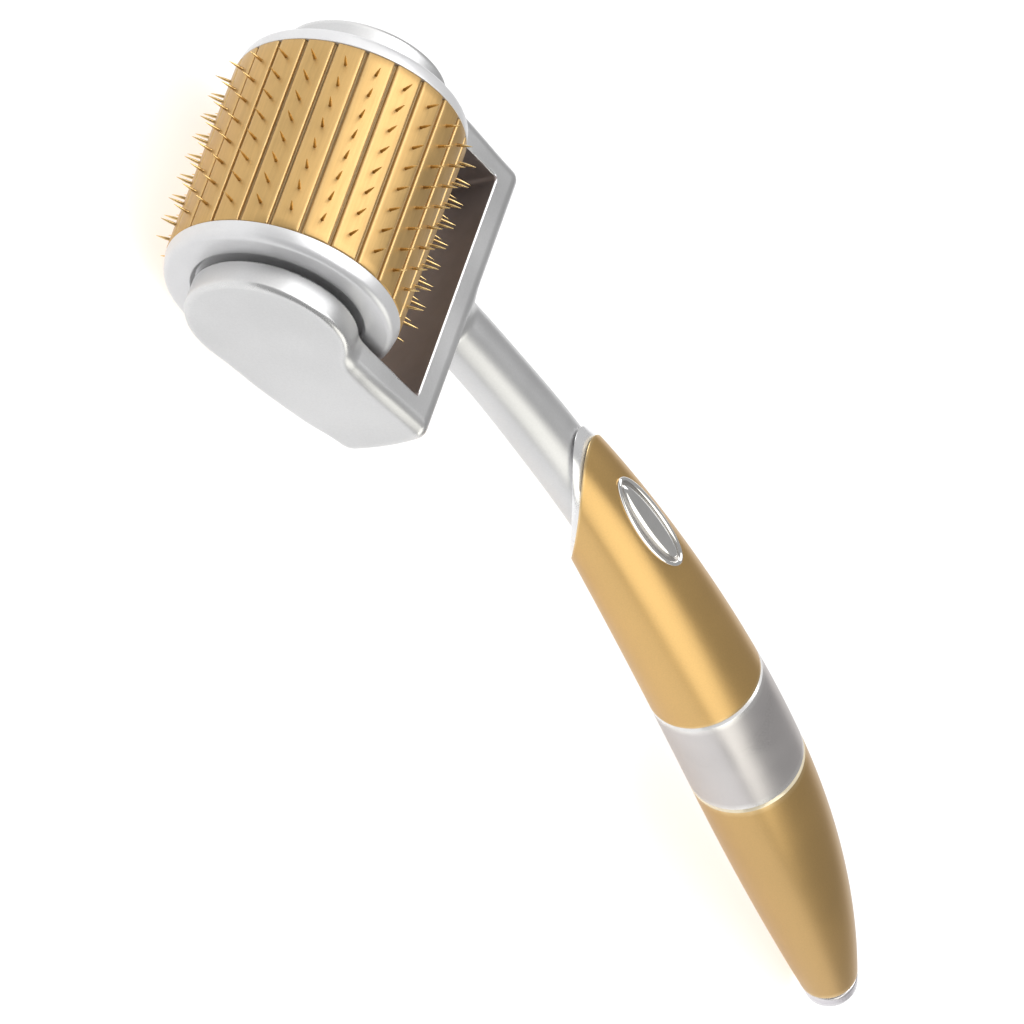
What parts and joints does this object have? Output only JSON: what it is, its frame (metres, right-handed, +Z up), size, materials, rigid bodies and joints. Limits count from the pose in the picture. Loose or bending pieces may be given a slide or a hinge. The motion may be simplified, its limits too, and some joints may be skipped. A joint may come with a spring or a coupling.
{
  "type": "derma roller",
  "caption": "Hand roller with a needled gold drum that spins on an axle between the ears of a silver U-shaped head, on a bowed gold and silver handle.",
  "frame": {"origin": "on the resting plane, under the middle of the roller's bounding box", "axes": "+X along the drum's axle, +Y from the drum towards the handle's tail, +Z up with the roller lying on its needles and tail, badge side up"},
  "size_m": [0.0296, 0.148, 0.0252],
  "materials": {
    "satin_silver": "satin silver paint on moulded plastic",
    "collar_silver": "bright silver paint on moulded plastic",
    "band_silver": "mid grey silver paint, satin",
    "cap_silver": "silver paint, satin",
    "sleeve_gold": "satin gold paint on moulded plastic",
    "slat_gold": "pale gold plated moulding",
    "needle_gold": "gold coloured plated metal, ground to a point",
    "axle_steel": "ground steel pin",
    "core_plastic": "unpainted moulding, out of sight",
    "bush_plastic": "natural acetal",
    "badge_chrome": "polished chrome"
  },
  "bodies": {
    "handle": {"head_frame": "satin_silver", "axle": "axle_steel", "collar_ring": "collar_silver", "handle_core": "core_plastic", "upper_sleeve": "sleeve_gold", "badge_bezel": "badge_chrome", "badge_plate": "badge_chrome", "grip_band": "band_silver", "lower_sleeve": "sleeve_gold", "end_cap": "cap_silver"},
    "drum": {"drum_core": "core_plastic", "drum_flange_near": "satin_silver", "drum_flange_far": "satin_silver", "bush_near": "bush_plastic", "bush_far": "bush_plastic", "needles": "needle_gold", "slat_01": "slat_gold", "slat_02": "slat_gold", "slat_03": "slat_gold", "slat_04": "slat_gold", "slat_05": "slat_gold", "slat_06": "slat_gold", "slat_07": "slat_gold", "slat_08": "slat_gold", "slat_09": "slat_gold", "slat_10": "slat_gold", "slat_11": "slat_gold", "slat_12": "slat_gold", "slat_13": "slat_gold", "slat_14": "slat_gold", "slat_15": "slat_gold", "slat_16": "slat_gold", "slat_17": "slat_gold", "slat_18": "slat_gold", "slat_19": "slat_gold", "slat_20": "slat_gold", "slat_21": "slat_gold", "slat_22": "slat_gold", "slat_23": "slat_gold", "slat_24": "slat_gold"}
  },
  "joints": [
    {"name": "drum_spin", "type": "hinge", "parent": "handle", "child": "drum", "pos_m": [0, -0.06145, 0.0126], "axis": [1, 0, 0], "continuous": true}
  ]
}
